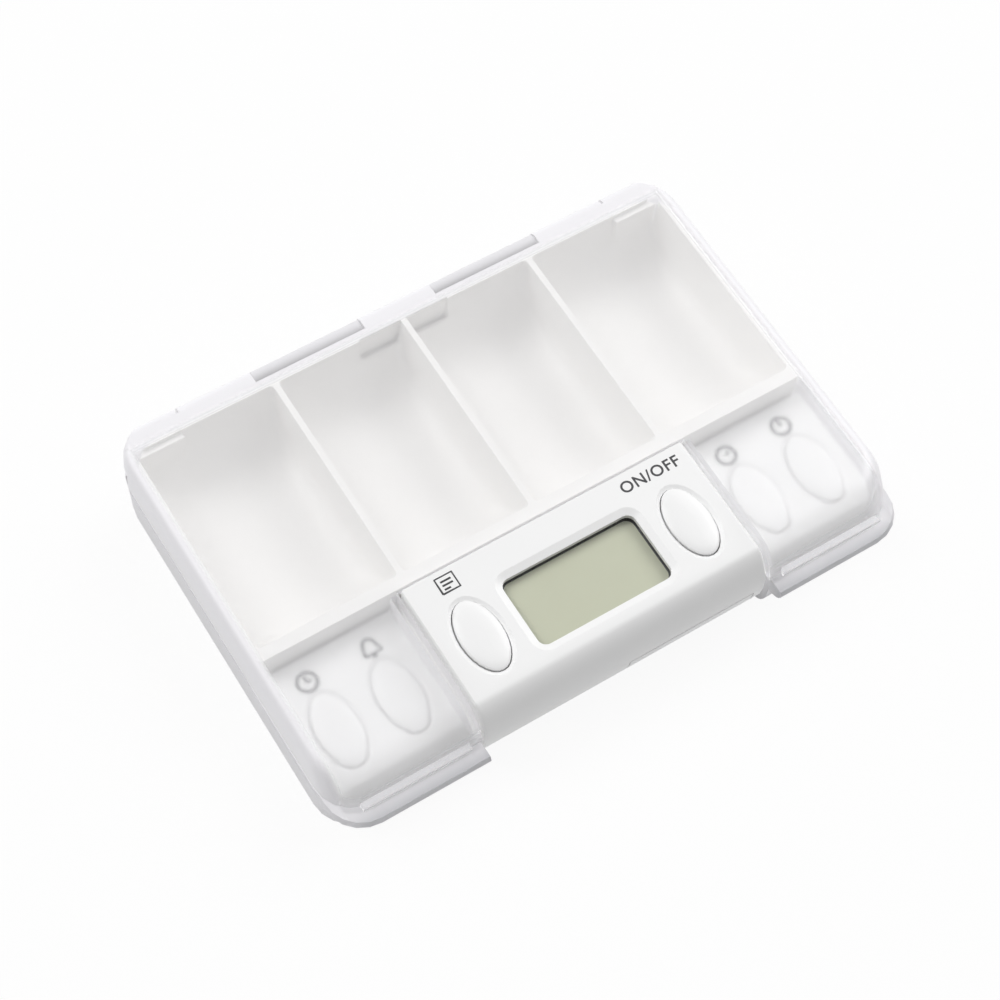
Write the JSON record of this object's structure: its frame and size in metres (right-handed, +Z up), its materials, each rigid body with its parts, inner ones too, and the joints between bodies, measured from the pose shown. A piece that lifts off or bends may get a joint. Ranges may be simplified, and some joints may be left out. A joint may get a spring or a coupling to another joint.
{
  "type": "electronic pill box",
  "caption": "Flat frosted case with a hinged lid over four pill compartments and a white timer unit with a small display and six push buttons.",
  "frame": {"origin": "middle of the underside of the closed case", "axes": "+X along the case to the right as the buttons are read, +Y from the front edge to the hinge, +Z up"},
  "size_m": [0.112, 0.08, 0.0175],
  "materials": {
    "frosted_polypropylene": "frosted",
    "white_abs": "satin",
    "white_button": "satin",
    "clear_acrylic": "clear",
    "display_glass": "satin",
    "grey_silicone": "matte",
    "black_resin": "satin",
    "chip_ceramic": "matte",
    "board_laminate": "satin",
    "sounder_ceramic": "matte",
    "red_sheath": "satin",
    "black_sheath": "satin",
    "steel": "satin",
    "plated_contact": "satin",
    "brass": "satin",
    "printed_ink": "matte"
  },
  "bodies": {
    "case": {"case_base": "frosted_polypropylene", "hinge_pin": "steel", "pill_tray": "white_abs", "timer_top_shell": "white_abs", "timer_bottom_shell": "white_abs", "left_key_mat": "grey_silicone", "right_key_mat": "grey_silicone", "memo_key_mat": "grey_silicone", "on_off_key_mat": "grey_silicone", "display_lens": "clear_acrylic", "display_cell": "display_glass", "display_holder": "white_abs", "zebra_strip": "grey_silicone", "circuit_board": "board_laminate", "chip_blob": "black_resin", "clock_crystal": "steel", "left_chip_capacitor": "chip_ceramic", "right_chip_capacitor": "chip_ceramic", "chip_resistor": "black_resin", "left_cell": "steel", "right_cell": "steel", "negative_contact": "plated_contact", "positive_contact": "plated_contact", "sounder_disc": "brass", "sounder_ceramic": "sounder_ceramic", "black_sounder_lead": "black_sheath", "red_sounder_lead": "red_sheath", "left_outer_shell_screw": "steel", "left_inner_shell_screw": "steel", "right_outer_shell_screw": "steel", "right_inner_shell_screw": "steel", "left_inner_board_screw": "steel", "left_outer_board_screw": "steel", "right_inner_board_screw": "steel", "right_outer_board_screw": "steel"},
    "lid": {"case_lid": "frosted_polypropylene"},
    "battery_hatch": {"battery_door": "white_abs", "cell_link_plate": "plated_contact"},
    "time_button_key": {"time_button": "white_button"},
    "alarm_button_key": {"alarm_button": "white_button"},
    "memo_button_key": {"memo_button": "white_button"},
    "on_off_button_key": {"on_off_button": "white_button"},
    "hour_button_key": {"hour_button": "white_button"},
    "minute_button_key": {"minute_button": "white_button"}
  },
  "joints": [
    {"name": "lid_hinge", "type": "hinge", "parent": "case", "child": "lid", "pos_m": [0, 0.0386, 0.0152], "axis": [-1, 0, 0], "range_deg": [0, 170]},
    {"name": "battery_door_slide", "type": "slide", "parent": "case", "child": "battery_hatch", "axis": [0, -1, 0], "range_m": [0, 0.018]},
    {"name": "time_press", "type": "slide", "parent": "case", "child": "time_button_key", "axis": [0, 0, -1], "range_m": [0, 0.0005], "stiffness_N_per_m": 600},
    {"name": "alarm_press", "type": "slide", "parent": "case", "child": "alarm_button_key", "axis": [0, 0, -1], "range_m": [0, 0.0005], "stiffness_N_per_m": 600},
    {"name": "memo_press", "type": "slide", "parent": "case", "child": "memo_button_key", "axis": [0, 0, -1], "range_m": [0, 0.0005], "stiffness_N_per_m": 600},
    {"name": "on_off_press", "type": "slide", "parent": "case", "child": "on_off_button_key", "axis": [0, 0, -1], "range_m": [0, 0.0005], "stiffness_N_per_m": 600},
    {"name": "hour_press", "type": "slide", "parent": "case", "child": "hour_button_key", "axis": [0, 0, -1], "range_m": [0, 0.0005], "stiffness_N_per_m": 600},
    {"name": "minute_press", "type": "slide", "parent": "case", "child": "minute_button_key", "axis": [0, 0, -1], "range_m": [0, 0.0005], "stiffness_N_per_m": 600}
  ]
}
